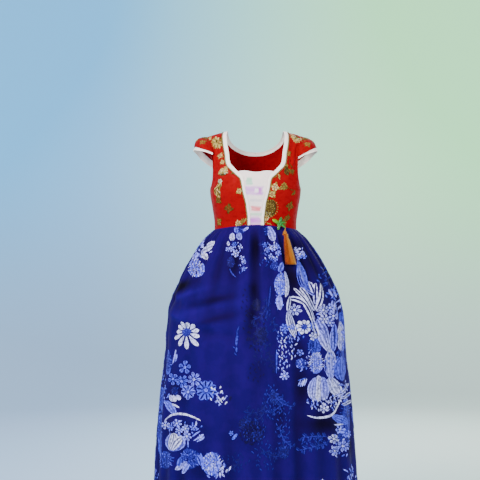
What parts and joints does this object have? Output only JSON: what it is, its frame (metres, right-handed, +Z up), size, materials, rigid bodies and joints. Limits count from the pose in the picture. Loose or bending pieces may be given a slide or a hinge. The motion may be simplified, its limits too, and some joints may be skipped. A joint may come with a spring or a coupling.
{
  "type": "korean hanbok dress",
  "caption": "Korean hanbok dress as worn: red brocade bodice with cap sleeves, white collar strip and chest panel, gathered blue floral skirt and a jade tassel ornament",
  "frame": {"origin": "on the centre line at the height of the shoulder points, halfway between front and back of the body", "axes": "+Z up along the standing wearer, -Y out of the front, +X to the wearer's left"},
  "size_m": [0.6872, 0.6059, 1.3504],
  "materials": {
    "red_brocade": "satin silk brocade with woven gold flowers",
    "white_silk": "soft cream silk",
    "gold_braid": "dull gold and olive braid",
    "blue_silk": "royal blue silk jacquard with printed and woven flowers",
    "jade": null,
    "amber_silk": "lustrous silk thread"
  },
  "bodies": {
    "root": {"bodice_front_left": "red_brocade", "bodice_front_right": "red_brocade", "bodice_back": "red_brocade", "cap_sleeve_left": "red_brocade", "cap_sleeve_right": "red_brocade", "cuff_left": "white_silk", "cuff_right": "white_silk", "collar_strip": "white_silk", "front_braid": "gold_braid", "chest_panel": "white_silk", "skirt_front_left": "blue_silk", "skirt_front_right": "blue_silk", "skirt_back_left": "blue_silk", "skirt_back_right": "blue_silk", "norigae_jade": "jade", "norigae_tassel": "amber_silk"}
  },
  "joints": []
}
